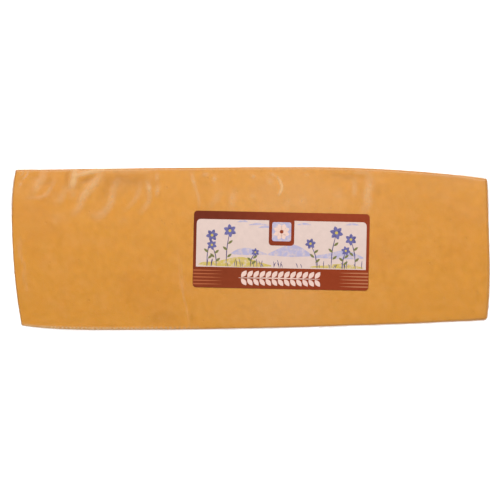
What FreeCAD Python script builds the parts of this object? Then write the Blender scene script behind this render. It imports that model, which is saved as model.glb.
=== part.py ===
import FreeCAD
import Part
import math
import os
from collections import namedtuple
from FreeCAD import Vector

# Vacuum-packed loaf of mimolette: an orange pressed cheese of brick form, drawn tight into clear
# film, with a printed label stuck on its upper face.
#
# The frame: +X runs along the loaf to its slimmer end, +Y to its rear long side and +Z up. The
# origin is the centre of the loaf's footprint, on the surface that it rests on. Millimetres.
#
# The loaf's six faces are spline patches over one shared net of control points, so that
# neighbouring faces meet exactly. The base is a true plane. The edges are then rounded, the film's
# folded end seals are laid on the end faces, and its gathered puckers are raised on the upper face.

# ---- the loaf -------------------------------------------------------------------------------
LENGTH = 300.0
WIDTH = 102.5
HEIGHT = 98.0

# How far the outline, seen from above, draws in towards each corner, and how late it bends: 1 is a
# straight slant and a large number a sudden turn. REAR_LEFT is the rear edge's draw towards its left
# corner, and LEFT_REAR is the left end's draw towards the same corner.
Draw = namedtuple("Draw", "depth bend")
REAR_LEFT = Draw(1.6, 1.3)
REAR_RIGHT = Draw(7.1, 3.2)
FRONT_LEFT = Draw(2.7, 14.0)
FRONT_RIGHT = Draw(5.9, 1.0)
LEFT_REAR = Draw(4.1, 6.0)
LEFT_FRONT = Draw(5.8, 2.3)
RIGHT_REAR = Draw(2.5, 1.7)
RIGHT_FRONT = Draw(3.0, 6.0)
LEFT_BULGE_AT = 22.5  # the left end stands out furthest this far to the rear of the middle line
RIGHT_BULGE_AT = -5.0  # and the right end this far to the front of it

# How much higher or further out the middle of a face stands than its edges.
TOP_CROWN_ACROSS = 2.0
TOP_CROWN_ALONG = 1.2
SIDE_CROWN = 1.2
END_CROWN = 1.4
SLIM_END_DROP = 3.0  # the right end is this much lower than the middle

# Rounding of the edges.
LONG_EDGE_RADIUS = 4.0
END_EDGE_RADIUS = 3.0
LEFT_CORNER_RADIUS = 2.0
REAR_RIGHT_CORNER_RADIUS = 3.0
FRONT_RIGHT_CORNER_RADIUS = 4.5

# Control points along, across and up the loaf, closer together towards the edges.
NET_ALONG, NET_ACROSS = 13, 9
NET_UP = 5  # crown() counts on five
SPLINE_DEGREE = 3

# ---- the film's end seals -------------------------------------------------------------------
# At each end the film is sealed flat across the loaf, and the strip below the seal is folded down
# onto the end face. The strip's spare width is folded back over itself as an ear on each side.
SEAL_LEVEL = 58.0
STRIP_DROP = 17.0
STRIP_THICK = 0.5
STRIP_MARGIN = 6.0  # from the full width to the strip's folded side
STRIP_SLANT = 4.0  # the strip is this much shorter at its lower corners
EAR_REACH = 30.0
EAR_DROP = 13.0
EAR_THICK = 0.4
FILM_ROOT = 1.0  # how far the folds reach into the loaf, to be one piece with it

# ---- the film's puckers ---------------------------------------------------------------------
# A pucker is a low rounded ridge that starts near the rear edge of the upper face and fades out
# towards the front. from_left and from_rear place its rear end, run is its length, lean its turn
# from straight forward towards the left, bow how far its middle stands off to the right of the
# straight line, and breadth and rise its width and height.
Pucker = namedtuple("Pucker", "from_left from_rear run lean bow breadth rise")
PUCKERS = (
    Pucker(21.5, 4.5, 15.0, 33.0, 0.8, 4.2, 0.6),
    Pucker(27.0, 10.0, 11.0, 40.0, 0.8, 3.0, 0.45),
    Pucker(41.0, 4.0, 11.0, 15.0, -0.6, 4.4, 0.7),
    Pucker(55.5, 8.5, 26.0, 38.0, 1.6, 5.0, 0.8),
    Pucker(63.0, 12.5, 20.0, 27.0, 2.6, 4.0, 0.6),
    Pucker(79.0, 12.5, 13.5, 27.0, 1.2, 3.0, 0.4),
    Pucker(86.5, 9.0, 19.0, 12.0, 2.2, 3.4, 0.55),
    Pucker(168.0, 6.0, 12.0, 0.0, 1.6, 2.2, 0.4),
    Pucker(215.5, 9.5, 12.0, 0.0, 0.0, 3.0, 0.35),
    Pucker(225.0, 7.0, 16.0, 4.0, 0.0, 3.6, 0.5),
)
PUCKER_SECTIONS = 7
SECTION_POINTS = 8
PUCKER_DEPTH = 1.0  # how far a pucker's widest section reaches below the face
PUCKER_TIP = 0.08  # the size of its end sections beside its widest one

# One long shallow fold of the film crosses the front half of the upper face, to its front edge.
FOLD_FROM_LEFT = 105.0
FOLD_FROM_MIDDLE = 1.0
FOLD_FROM_FRONT = 5.0
FOLD = Pucker(
    from_left=FOLD_FROM_LEFT,
    from_rear=WIDTH / 2 + FOLD_FROM_MIDDLE,
    run=WIDTH / 2 - FOLD_FROM_MIDDLE - FOLD_FROM_FRONT,
    lean=-5.0,
    bow=0.8,
    breadth=2.4,
    rise=0.25,
)

# ---- the label ------------------------------------------------------------------------------
LABEL_LENGTH = 111.0
LABEL_WIDTH = 48.5
LABEL_THICK = 0.2
LABEL_CORNER_RADIUS = 2.6
LABEL_FROM_MIDDLE = Vector(18.6, -1.0, 0)
LABEL_TURN = -1.3  # degrees from square with the loaf


def drawn_in(draw, share):
    """How far the outline has drawn in at this share of the way to a corner."""
    return draw.depth * max(0.0, share) ** draw.bend


def half_width(along, rear):
    """From the middle line out to the rear or front edge."""
    left, right = (REAR_LEFT, REAR_RIGHT) if rear else (FRONT_LEFT, FRONT_RIGHT)
    return WIDTH / 2 - drawn_in(left, -along) - drawn_in(right, along)


def half_length(across, right):
    """From the middle out to the left or right end."""
    rear, front = (RIGHT_REAR, RIGHT_FRONT) if right else (LEFT_REAR, LEFT_FRONT)
    peak = (RIGHT_BULGE_AT if right else LEFT_BULGE_AT) / (WIDTH / 2)
    to_rear = (across - peak) / (1 - peak)
    to_front = (peak - across) / (1 + peak)
    return LENGTH / 2 - drawn_in(rear, to_rear) - drawn_in(front, to_front)


def crown(depth, up):
    """How far a control point lies in from the full size, if the face is to reach the full size
    half-way up and to fall short of it by the depth at its upper and lower edges."""
    return depth * (4 * up**2 - 1) / 3


def net_point(along, across, up):
    """A control point. Each place runs from -1 to 1: left to right, front to rear, base to top."""
    y = across * (half_width(along, across > 0) - crown(SIDE_CROWN, up))
    x = along * (half_length(across, along > 0) - crown(END_CROWN, up))
    top = HEIGHT - TOP_CROWN_ACROSS * across**2 - TOP_CROWN_ALONG * along**2
    top -= SLIM_END_DROP * max(0.0, along)
    return Vector(x, y, top * (up + 1) / 2)


def places(count):
    """Places from -1 to 1 that crowd towards both ends."""
    return [-math.cos(math.pi * i / (count - 1)) for i in range(count)]


def knots(count):
    """Multiplicities and values of the knots of an open spline with this many control points."""
    inner = count - SPLINE_DEGREE - 1
    ends = [SPLINE_DEGREE + 1]
    return ends + [1] * inner + ends, [i / (inner + 1) for i in range(inner + 2)]


def patch(net):
    """The spline face over rows of control points."""
    surface = Part.BSplineSurface()
    u_mults, u_knots = knots(len(net))
    v_mults, v_knots = knots(len(net[0]))
    surface.buildFromPolesMultsKnots(
        net, u_mults, v_mults, u_knots, v_knots, False, False, SPLINE_DEGREE, SPLINE_DEGREE
    )
    return surface.toShape()


def loaf_faces():
    """The loaf's six faces by name, before its edges are rounded."""
    along, across, up = places(NET_ALONG), places(NET_ACROSS), places(NET_UP)
    faces = {
        "top": patch([[net_point(a, b, 1) for b in across] for a in along]),
        "front": patch([[net_point(a, -1, c) for c in up] for a in along]),
        "rear": patch([[net_point(a, 1, c) for c in up] for a in along]),
        "left": patch([[net_point(-1, b, c) for c in up] for b in across]),
        "right": patch([[net_point(1, b, c) for c in up] for b in across]),
    }
    rim = patch([[net_point(a, b, -1) for b in across] for a in along]).Edges
    faces["base"] = Part.Face(Part.Wire(Part.__sortEdges__(rim)))
    return faces


def sewn(faces):
    """The closed solid inside faces that meet edge to edge."""
    shell = Part.makeShell(list(faces))
    shell.sewShape()
    solid = Part.Solid(shell)
    if solid.Volume < 0:
        solid.reverse()
    return solid


def edge_radius(edge):
    """The rounding of one of the block's twelve edges, by which way it runs and where it lies."""
    box = edge.BoundBox
    if box.XLength > max(box.YLength, box.ZLength):
        return LONG_EDGE_RADIUS
    if box.YLength > box.ZLength:
        return END_EDGE_RADIUS
    if box.Center.x < 0:
        return LEFT_CORNER_RADIUS
    return REAR_RIGHT_CORNER_RADIUS if box.Center.y > 0 else FRONT_RIGHT_CORNER_RADIUS


def rounded(block):
    """The block with each edge rounded to its own radius."""
    document = FreeCAD.newDocument()
    base = document.addObject("Part::Feature", "Block")
    base.Shape = block
    fillet = document.addObject("Part::Fillet", "Rounded")
    fillet.Base = base
    radii = [edge_radius(edge) for edge in block.Edges]
    fillet.Edges = [(i, radius, radius) for i, radius in enumerate(radii, 1)]
    document.recompute()
    return fillet.Shape.Solids[0]


def prism(corners, direction):
    """A straight-sided solid from a closed outline."""
    return Part.Face(Part.makePolygon(corners + corners[:1])).extrude(direction)


def layer(face, outward, thick):
    """A sheet on one face of the loaf, which reaches a little into it."""
    root = face.copy()
    root.translate(outward * -FILM_ROOT)
    return root.extrude(outward * (FILM_ROOT + thick))


def end_seal(face, outward):
    """The folded strip below one end's seal, with an ear at each side."""
    side = WIDTH / 2 - STRIP_MARGIN
    foot = SEAL_LEVEL - STRIP_DROP
    through = outward * LENGTH

    def fold(outline, thick):
        return layer(face, outward, thick).common(prism([Vector(0, y, z) for y, z in outline], through))

    strip = [(-side, SEAL_LEVEL), (side, SEAL_LEVEL), (side - STRIP_SLANT, foot), (STRIP_SLANT - side, foot)]
    pieces = [fold(strip, STRIP_THICK)]
    for hand in (-1, 1):
        ear = [(hand * side, SEAL_LEVEL), (hand * (side - EAR_REACH), SEAL_LEVEL)]
        ear.append((hand * (side - STRIP_SLANT), SEAL_LEVEL - EAR_DROP))
        pieces.append(fold(ear, STRIP_THICK + EAR_THICK))
    return pieces


def oval(centre, flank, half_breadth, half_height):
    """A closed upright curve round a centre, as broad as given along the level vector flank."""
    turns = [2 * math.pi * i / SECTION_POINTS for i in range(SECTION_POINTS)]
    rise = Vector(0, 0, half_height)
    ring = [centre + flank * (half_breadth * math.cos(t)) + rise * math.sin(t) for t in turns]
    curve = Part.BSplineCurve()
    curve.interpolate(ring, PeriodicFlag=True)
    return Part.Wire(curve.toShape())


def ridge(shape, top):
    """A pucker as a spindle along a bowed line, its lower part sunk in the loaf."""
    start = Vector(shape.from_left - LENGTH / 2, WIDTH / 2 - shape.from_rear, 0)
    lean = math.radians(shape.lean)
    ahead = Vector(-math.sin(lean), -math.cos(lean), 0)
    aside = Vector(-ahead.y, ahead.x, 0)
    sections = []
    for i in range(PUCKER_SECTIONS):
        share = i / (PUCKER_SECTIONS - 1)
        swell = math.sin(math.pi * share)
        size = PUCKER_TIP + (1 - PUCKER_TIP) * swell
        spot = start + ahead * (shape.run * share) + aside * (shape.bow * swell)
        u, v = top.Surface.parameter(Vector(spot.x, spot.y, HEIGHT))
        spot.z = top.Surface.value(u, v).z - PUCKER_DEPTH + shape.rise * swell
        slope = aside * (math.pi * shape.bow * math.cos(math.pi * share))
        heading = (ahead * shape.run + slope).normalize()
        flank = Vector(-heading.y, heading.x, 0)
        sections.append(oval(spot, flank, shape.breadth / 2 * size, PUCKER_DEPTH * size))
    return Part.makeLoft(sections, True)


def wrapped_loaf(faces):
    """Cheese and film as one solid."""
    solid = rounded(sewn(faces.values()))
    folds = end_seal(faces["left"], Vector(-1, 0, 0)) + end_seal(faces["right"], Vector(1, 0, 0))
    folds += [ridge(pucker, faces["top"]) for pucker in PUCKERS + (FOLD,)]
    return solid.fuse(folds).removeSplitter().Solids[0]


def label(top):
    """The label: a thin sheet that lies on the upper face and follows its crown."""
    half_long, half_wide = LABEL_LENGTH / 2, LABEL_WIDTH / 2
    blank = Part.makeBox(LABEL_LENGTH, LABEL_WIDTH, HEIGHT, Vector(-half_long, -half_wide, HEIGHT / 2))
    upright = [edge for edge in blank.Edges if edge.BoundBox.ZLength > LABEL_WIDTH / 2]
    blank = blank.makeFillet(LABEL_CORNER_RADIUS, upright)
    blank.rotate(Vector(0, 0, 0), Vector(0, 0, 1), LABEL_TURN)
    blank.translate(LABEL_FROM_MIDDLE)
    return top.extrude(Vector(0, 0, LABEL_THICK)).common(blank).Solids[0]


def main():
    faces = loaf_faces()
    nodes = {"wrapped_loaf": wrapped_loaf(faces), "label": label(faces["top"])}
    box = nodes["wrapped_loaf"].optimalBoundingBox()
    to_origin = Vector(-box.Center.x, -box.Center.y, -box.ZMin)
    os.makedirs("parts", exist_ok=True)
    for name, solid in nodes.items():
        solid.translate(to_origin)
        solid.exportStep(f"parts/{name}.step")
        print(name, "valid" if solid.isValid() else "NOT VALID", f"{solid.Volume / 1000:.2f} cm3")


main()
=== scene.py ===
"""A loaf of mimolette drawn tight into clear film, built round its CAD frame.

The pieces are the cheese, the film with its folded end seals, and the label with its print. Lengths are
in metres. +X runs along the loaf to its slimmer end, +Y to its rear long side and +Z up.
"""

import math
import random
from collections import namedtuple

import bmesh
import bpy
import numpy as np
from bpy.props import FloatProperty, FloatVectorProperty, IntProperty, PointerProperty
from bpy.types import Operator, Panel, PropertyGroup
from mathutils import Matrix, Vector, noise
from mathutils.bvhtree import BVHTree


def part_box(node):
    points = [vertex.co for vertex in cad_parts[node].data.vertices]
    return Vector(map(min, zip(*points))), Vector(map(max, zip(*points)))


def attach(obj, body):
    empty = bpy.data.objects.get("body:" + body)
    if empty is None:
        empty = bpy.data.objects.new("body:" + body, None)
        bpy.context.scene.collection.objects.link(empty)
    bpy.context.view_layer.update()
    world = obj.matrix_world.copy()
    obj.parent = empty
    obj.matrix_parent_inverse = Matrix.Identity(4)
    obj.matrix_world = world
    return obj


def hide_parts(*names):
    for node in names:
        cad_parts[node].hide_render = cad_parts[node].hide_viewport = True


bl_info = {
    "name": "Packed Cheese Loaf",
    "version": (1, 0, 0),
    "blender": (4, 5, 0),
    "location": "View3D > Sidebar > Cheese Loaf",
    "description": "Builds a loaf of pressed cheese in clear film, with its label and a plain studio",
    "category": "Add Mesh",
}

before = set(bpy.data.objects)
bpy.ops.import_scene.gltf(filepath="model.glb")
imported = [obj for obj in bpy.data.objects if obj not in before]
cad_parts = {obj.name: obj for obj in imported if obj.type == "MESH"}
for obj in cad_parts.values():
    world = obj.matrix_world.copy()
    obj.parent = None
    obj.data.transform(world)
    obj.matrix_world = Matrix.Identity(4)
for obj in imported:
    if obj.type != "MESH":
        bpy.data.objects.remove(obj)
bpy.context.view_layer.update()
LOAF_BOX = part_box("wrapped_loaf")
MM = 0.001

# ---- the loaf's outline, seen from above -------------------------------------------------------
# A side stands out furthest at its peak, given as a share of the way from its middle, and draws in
# from there towards the corner at its low end, on -X or -Y, and the one at its high end. bend says
# how late it draws in: 1 is a straight slant and a large number a sudden turn.
Draw = namedtuple("Draw", "depth bend")
Side = namedtuple("Side", "peak low high")
REAR = Side(0.2, Draw(1.8 * MM, 1.45), Draw(7.2 * MM, 2.1))
FRONT = Side(-0.5, Draw(2.8 * MM, 4.2), Draw(6.0 * MM, 1.7))
LEFT = Side(0.39, Draw(6.0 * MM, 1.9), Draw(2.3 * MM, 2.6))
RIGHT = Side(-0.3, Draw(1.7 * MM, 2.6), Draw(1.6 * MM, 1.25))

# ---- its crowned faces, as in the CAD ----------------------------------------------------------
TOP_CROWN_ACROSS = 2.0 * MM
TOP_CROWN_ALONG = 1.2 * MM
SIDE_CROWN = 1.2 * MM
END_CROWN = 1.4 * MM
SLIM_END_DROP = 3.0 * MM

# ---- the edges, a little crisper than the solid's ----------------------------------------------
LONG_EDGE_RADIUS = 1.2 * MM
LEFT_CORNER_RADIUS = 0.8 * MM
REAR_RIGHT_CORNER_RADIUS = 1.6 * MM
FRONT_RIGHT_CORNER_RADIUS = 2.2 * MM
EDGE_STEPS = 5

# ---- the film's folded end seals, as in the CAD ------------------------------------------------
SEAL_LEVEL = 58.0 * MM
STRIP_DROP = 17.0 * MM
STRIP_MARGIN = 6.0 * MM
STRIP_SLANT = 4.0 * MM
EAR_REACH = 30.0 * MM
EAR_DROP = 13.0 * MM
CORNER_ROOM = 3.0 * MM  # strip and ears keep this far from the end's upright edges
CORNER_DEPTH = 7.5 * MM  # where the end's breadth is measured, inwards from its tip
FOLD_THICK = 0.9 * MM  # strip and ear together
STRIP_CUTS = (90, 68)  # across and down
STRIP_THICK = 0.25 * MM
EAR_THICK = 0.5 * MM
EAR_INSET = 0.3 * MM
EAR_CUTS = 10
LAID_GAP = 0.02 * MM  # between the film and what lies on it
RIB_HEIGHT = 0.12 * MM
RIB_HAZE = 0.3
FLAP_WAVE = 0.3 * MM  # how unevenly the strip's loose lower edge stands off
FLAP_WAVE_PITCH = 7 * MM

# ---- how the loaf differs from the solid, and how finely it is divided --------------------------
PLEAT_ROOM = 1.2 * MM  # what the film's lift and pleats add to the length at both ends together
EXTRA_WIDTH = 0.6 * MM  # over the solid's width
CHEESE_CUTS = (140, 56, 30)  # along X, Y and Z, as the film's
FILM_CUTS = (210, 80, 40)

# ---- the film's creases ------------------------------------------------------------------------
# A crease follows a smooth line through its points, in millimetres over the face that it is on, from
# the loaf's middle and, on the walls, up from its foot. breadth and rise are its size, a negative rise
# being a valley. haze is how milky the film is along it, and on the ridges and rims it also stands for
# painted highlight and sheen. A negative haze is painted shade, darkening the cheese in the pockets and
# valleys, where the film is pressed tight and the cheese damp.
Crease = namedtuple("Crease", "points breadth rise haze")
TOP_CREASES = (
    # the gathered puckers at the rear left, from the corner on
    Crease(((-138, 48), (-139, 45), (-141.5, 42.5)), 1.3, 0.16, 0.7),
    Crease(((-140.5, 47.5), (-141.5, 46), (-143.5, 44.5)), 1, 0.1, 0.4),
    Crease(((-142.5, 41), (-143, 38)), 1.8, 0.08, 0.5),
    Crease(((-128.5, 48.5), (-129.5, 43), (-132, 39), (-135, 34)), 4.4, 0.27, 0.52),
    Crease(((-122, 41.5), (-124, 37), (-126.5, 33.5), (-130.5, 31.5), (-138.5, 31)), 2.3, 0.17, 0.46),
    Crease(((-115.5, 36.5), (-117, 31.5), (-120.5, 27.5)), 4, 0.18, 0.4),
    Crease(((-109.5, 35), (-111, 31.5)), 3.6, 0.12, 0.34),
    Crease(((-109.5, 49.5), (-109.5, 44.5), (-110.5, 40), (-112, 36.5)), 3.8, 0.35, 1),
    Crease(((-109, 44.5), (-104.5, 46), (-97.5, 47.5), (-91, 49)), 2.6, 0.25, 0.9),
    Crease(((-92, 48), (-78, 48), (-60.5, 48)), 3.6, 0.05, 0.3),
    Crease(((-93, 47), (-95.5, 42), (-98.5, 38), (-102, 34.5), (-104.5, 30.5)), 4.5, 0.32, 0.64),
    Crease(((-102.5, 34), (-104.5, 30.5), (-106, 26), (-110, 21)), 4, 0.22, 0.5),
    Crease(((-83, 41.5), (-85, 36), (-86, 31), (-87.5, 26.5), (-91, 22), (-94.5, 18.5)), 4, 0.25, 0.54),
    Crease(((-91, 22), (-95.5, 20.5), (-100.5, 21.5)), 5, 0.06, 0.26),
    Crease(((-79, 37.5), (-80.5, 31.5)), 4.4, 0.04, 0.08),
    Crease(((-68.5, 40), (-70, 33), (-73, 28.5), (-77.5, 23.5)), 2.8, 0.16, 0.32),
    Crease(((-64, 40.5), (-63, 34.5), (-63.5, 28.5), (-68.5, 21.5)), 3, 0.22, 0.46),
    Crease(((-63.5, 39.5), (-63, 35.5)), 2.2, 0.1, 0.8),
    Crease(((-58, 46.5), (-58.5, 41.5)), 2.2, 0.14, 0.5),
    Crease(((-57.5, 39), (-58, 35.5), (-58.5, 32)), 2.6, 0.14, 0.5),
    Crease(((-123, 19.5), (-117, 18)), 7, 0.04, 0.16),
    Crease(((-80, 19), (-78, 15.5)), 6, 0.04, 0.14),
    # the pockets beside them, painted shade where the film is pressed tight
    Crease(((-106.5, 41), (-101.5, 42.5), (-96.5, 44.5)), 3.4, -0.12, -0.8),
    Crease(((-91.5, 41.5), (-86, 42.5), (-80.5, 43), (-69.5, 42.5), (-60, 42.5)), 6.2, -0.05, -0.56),
    Crease(((-113.5, 48.5), (-114, 40), (-113, 36)), 2.8, -0.16, -0.5),
    Crease(((-132.5, 46), (-135, 42.5)), 3, -0.1, -0.4),
    Crease(((-124.5, 43), (-127, 40)), 2.8, -0.1, -0.42),
    Crease(((-120, 36), (-122, 33.5)), 3, -0.06, -0.26),
    Crease(((-138, 42), (-139.5, 36.5)), 2.6, -0.06, -0.26),
    Crease(((-88, 40.5), (-90, 36), (-93.5, 29.5)), 4.6, -0.1, -0.32),
    Crease(((-108.5, 39.5), (-106.5, 36.5)), 3.4, -0.1, -0.4),
    # behind the label
    Crease(((-37, 46.5), (-35.5, 41), (-34, 36)), 2.3, 0.18, 0.6),
    Crease(((-34, 36.5), (-32.5, 31.5), (-32, 25)), 1.6, 0.14, 0.44),
    Crease(((-30, 45.5), (-25.5, 46)), 2.2, 0.05, 0.46),
    Crease(((-22.5, 44.5), (-23, 41)), 2.4, 0.14, 0.6),
    Crease(((-18.5, 34.5), (-21.5, 30.5), (-25.5, 25.5)), 4, 0.1, 0.3),
    Crease(((-11, 35), (-11.5, 30), (-12, 24.5)), 3.8, 0.14, 0.44),
    Crease(((0.5, 45), (2.5, 43.5)), 2.4, 0.08, 0.56),
    Crease(((10.5, 43.5), (13.5, 39)), 3.2, 0.1, 0.4),
    Crease(((12, 46.5), (15.5, 44)), 2.2, 0.1, 0.5),
    Crease(((1.5, 33.5), (0, 31)), 3.4, 0.04, 0.3),
    Crease(((16.5, 44), (18.5, 40.5), (19, 37), (17, 32.5)), 1.5, 0.13, 1.4),
    Crease(((-29.5, 42), (-29.5, 37)), 6, -0.08, -0.24),
    Crease(((6.5, 41), (8.5, 38)), 7, -0.08, -0.24),
    Crease(((34, 45.5), (35.5, 45)), 2, 0.06, 0.4),
    Crease(((23, 30.5), (22.5, 28)), 2.4, 0.06, 0.26),
    Crease(((32.5, 32), (32, 26)), 3.4, 0.08, 0.28),
    Crease(((46, 44.5), (54.5, 45.5), (58.5, 44.5), (63.5, 44.5), (72.5, 43.5)), 3, -0.05, -0.55),
    # a broad band of painted shade over the pockets at the rear left
    Crease(((-94, 38), (-80, 39), (-66, 38.5)), 11, 0, -0.24),
    Crease(((64, 47), (73, 46.5)), 2, 0.06, 0.4),
    Crease(((64, 41.5), (64, 36.5), (64, 31.5)), 2.8, 0.12, 0.5),
    Crease(((54, 35), (54, 29.5)), 5, 0.06, 0.24),
    Crease(((73.5, 45.5), (73, 38), (72, 32), (72.5, 28), (69.5, 22)), 4.6, 0.2, 0.62),
    Crease(((69, 37.5), (69, 31)), 2.6, -0.08, -0.26),
    Crease(((78, 40), (78, 31)), 3.6, -0.08, -0.34),
    # the long double fold from the label's left side to the front edge
    Crease(((-45.5, -1), (-44, -18), (-42, -29), (-39.5, -39), (-38, -49)), 1.1, 0.13, 0.28),
    Crease(((-43.5, -6.5), (-42.5, -18), (-41.5, -33)), 1, 0.1, 0.26),
    Crease(((-36.5, -38.5), (-35.5, -47)), 2.4, -0.08, -0.34),
    Crease(((-62, -45.5), (-56, -42.5), (-42.5, -43)), 6.6, -0.06, -0.34),
    # the lines beside the left end
    Crease(((-143, 7), (-143, -3.5), (-141, -9.5)), 1.5, 0.12, 0.44),
    Crease(((-140.5, -8), (-140.5, -17.5), (-138.5, -27)), 1.3, 0.12, 0.4),
    # the film's loose rims along the front edge and at three corners, pale with painted highlight, and
    # painted shade along the rear edge
    Crease(((-142.5, -47), (-131, -48.5), (-100, -49.5), (-69, -49.5), (-30, -49)), 1.7, 0.1, 1.3),
    Crease(((-146.5, -34), (-145.5, -42), (-143.5, -48)), 1.6, 0.08, 1.1),
    Crease(((-58, 48.5), (-32, 49), (18, 49.5), (67, 48.5), (100, 47)), 2.4, 0, -0.45),
    Crease(((100, 47), (118, 45.5), (130, 44), (141, 43)), 3.2, 0, -0.6),
    Crease(((118, 47), (134, 45), (148.5, 43.5), (149, 36)), 1.6, 0.06, 0.7),
    Crease(((126, -45.5), (147, -44.5), (149, -36)), 1.2, 0.05, 0.5),
    # painted sheen on the film round the label, palest behind it
    Crease(((-14, 27), (34, 31), (68, 27)), 21, 0, 0.2),
    Crease(((-22, -33), (20, -36), (62, -34)), 21, 0, 0.12),
    # the cheese darker over the right, and a broad painted sheen over the middle
    Crease(((88, 30), (112, 33), (140, 30)), 36, 0, -0.17),
    Crease(((-2, 0), (50, 0)), 90, 0, 0.18),
)
# the parts of the upper face whose small creases need a finer film, as their lowest and highest X and Y
FINER_PARTS = (
    ((-150 * MM, 12 * MM), (-50 * MM, 52 * MM)),
    ((-50 * MM, 22 * MM), (78 * MM, 52 * MM)),
    ((-50 * MM, -52 * MM), (-34 * MM, 0)),
    ((-150 * MM, -52 * MM), (-50 * MM, -44 * MM)),
)
ROUTE_STEPS = 14  # places along each run between two points of a crease
CREASE_REACH = 1.6  # a crease is nothing further off than this many times its breadth

# Fainter creases on the walls are drawn at random: this many on each long side, and this many pleats
# above and below the seal on each end. Their sizes lie between the two numbers given for each, in
# millimetres, degrees for the lean, and a share of the room for a pleat's reach.
SIDE_CREASES = 26
SIDE_CREASE_LENGTH = (10, 34)
SIDE_CREASE_LEAN = (15, 75)
SIDE_CREASE_BREADTH = (1.4, 3.4)
SIDE_CREASE_RISE = (0.12, 0.5)
SIDE_CREASE_HAZE = (0.1, 0.45)
END_PLEATS = 15
END_PLEAT_REACH = (0.35, 0.95)
END_PLEAT_BREADTH = (1.3, 3.0)
END_PLEAT_RISE = (0.2, 0.6)
END_PLEAT_HAZE = (0.2, 0.6)
WALL_SEED = 7
BROAD_PATCH = 26 * MM  # how far apart the faces' broad swells are, and their closer ones
CLOSE_PATCH = 9 * MM
MILKINESS = 0.62  # of film at a haze of 1
# how milky film is without any haze, where it lies flat, in the seals and in their ears
CLEAR_MILK = 0.01
SEAL_MILK = 0.07
EAR_MILK = 0.10
EDGE_SHADE = 0.3  # painted shade along the cheese's edges, where the film is tightest
REAR_EDGE_SHADE = 0.6  # more painted shade along its rear edge, which dims the key light's highlight there

# ---- the label's layout ------------------------------------------------------------------------
# Lengths run from the label's middle, before it is turned: first along it, then across it.
TOP_BAND = 5.1 * MM
BOTTOM_BAND = 12.8 * MM
SIDE_BORDER = 1.8 * MM
PANEL_RADIUS = 2.4 * MM
TAB_SIZE = (15.7 * MM, 15.6 * MM)
STRIPE_COUNT = 5
STRIPE_PITCH = 2.1 * MM
STRIPE_RUN = 20.0 * MM
STRIPE_BREADTHS = {-1: 0.75 * MM, 1: 0.95 * MM}  # on the left and on the right
TINT_RUN = 0.6  # how far along its right half the label's brown goes on changing
SIGN_SIZE = (11.8 * MM, 11.8 * MM)
SIGN_RADIUS = 1.3 * MM
ROSETTE_RADIUS = 4.9 * MM
ROSETTE_PETALS = 8
GRAIN_EAR_RUN = 52.0 * MM
GRAIN_PAIRS = 13
GRAIN_LEAN = math.radians(52)
PICTURE_SEED = 21
GRASS_BLADES = 34
PRINT_STEP = 2.5 * MM  # the print is divided this finely to follow the crown
PRINT_THICK = 0.02 * MM
HILL_STEPS = 28
HILL_PITCH = 5.2 * MM  # how far apart the swells on a hill's skyline are, over 2 pi
DROP_HEIGHT = 1.0  # sheets are laid from here, above everything

# ---- the studio --------------------------------------------------------------------------------
# Sheets reach this far from their middle. The lamps face the loaf.
FLOOR_REACH = 6.0
FLOOR_GAP = 0.2 * MM  # under the loaf
FLOOR_GREY = 0.8
FLOOR_GLOW = 0.85
CARD_REACH = 0.75
CARD_HEIGHT = 1.9
CARD_GREY = 0.02
KEY_SIZE = (1.6, 0.8)
KEY_PLACE = (0.04, 0.95, 1.3)
FILL_SIZE = (1.6, 0.7)
FILL_PLACE = (-0.35, -1.6, 0.55)
SENSOR_WIDTH = 36.0


def length_setting(name, description, default):
    """A length, in metres."""
    return FloatProperty(name=name, description=description, default=default, unit="LENGTH")


def place_setting(name, description, default):
    """A place seen from above, in metres."""
    return FloatVectorProperty(name=name, description=description, size=2, default=default, unit="LENGTH")


def share_setting(name, description, default):
    """A share, from 0 to 1."""
    return FloatProperty(
        name=name, description=description, default=default, min=0.0, max=1.0, subtype="FACTOR"
    )


def light_setting(name, description, default):
    """A light's strength."""
    return FloatProperty(name=name, description=description, default=default, min=0.0)


def colour_setting(name, description, red, green, blue):
    """A colour property whose default is given in screen values from 0 to 255."""

    def linear(screen):
        share = screen / 255
        return share / 12.92 if share <= 0.04045 else ((share + 0.055) / 1.055) ** 2.4

    return FloatVectorProperty(
        name=name,
        description=description,
        subtype="COLOR",
        size=3,
        min=0.0,
        max=1.0,
        default=(linear(red), linear(green), linear(blue)),
    )


class LoafSettings(PropertyGroup):
    """The loaf's overall sizes, and how uneven it is."""

    length: length_setting(
        "Length",
        "Length of the loaf without the folds on its ends",
        LOAF_BOX[1].x - LOAF_BOX[0].x - 2 * FOLD_THICK - PLEAT_ROOM,
    )
    width: length_setting(
        "Width", "Greatest width of the loaf", LOAF_BOX[1].y - LOAF_BOX[0].y + EXTRA_WIDTH
    )
    height: length_setting("Height", "Height of the loaf at the top of its crown", LOAF_BOX[1].z)
    undulation: length_setting(
        "Undulation", "How far the faces swell and sink in broad uneven patches", 0.16 * MM
    )


class FilmSettings(PropertyGroup):
    """How the film lies on the cheese."""

    lift: length_setting("Lift", "Gap between the cheese and the film where the film lies flat", 0.12 * MM)
    edge_lift: length_setting(
        "Edge Lift", "Further gap where the film bridges the edges of the end faces", 0.1 * MM
    )
    imprint: share_setting("Imprint", "Share of a pucker's height that the cheese under it shows too", 0.55)
    seal_ribs: IntProperty(
        name="Seal Ribs",
        description="Number of crimped ribs across each heat seal",
        default=5,
        min=1,
    )
    roughness: share_setting("Roughness", "Roughness of the film's gloss", 0.34)


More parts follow.
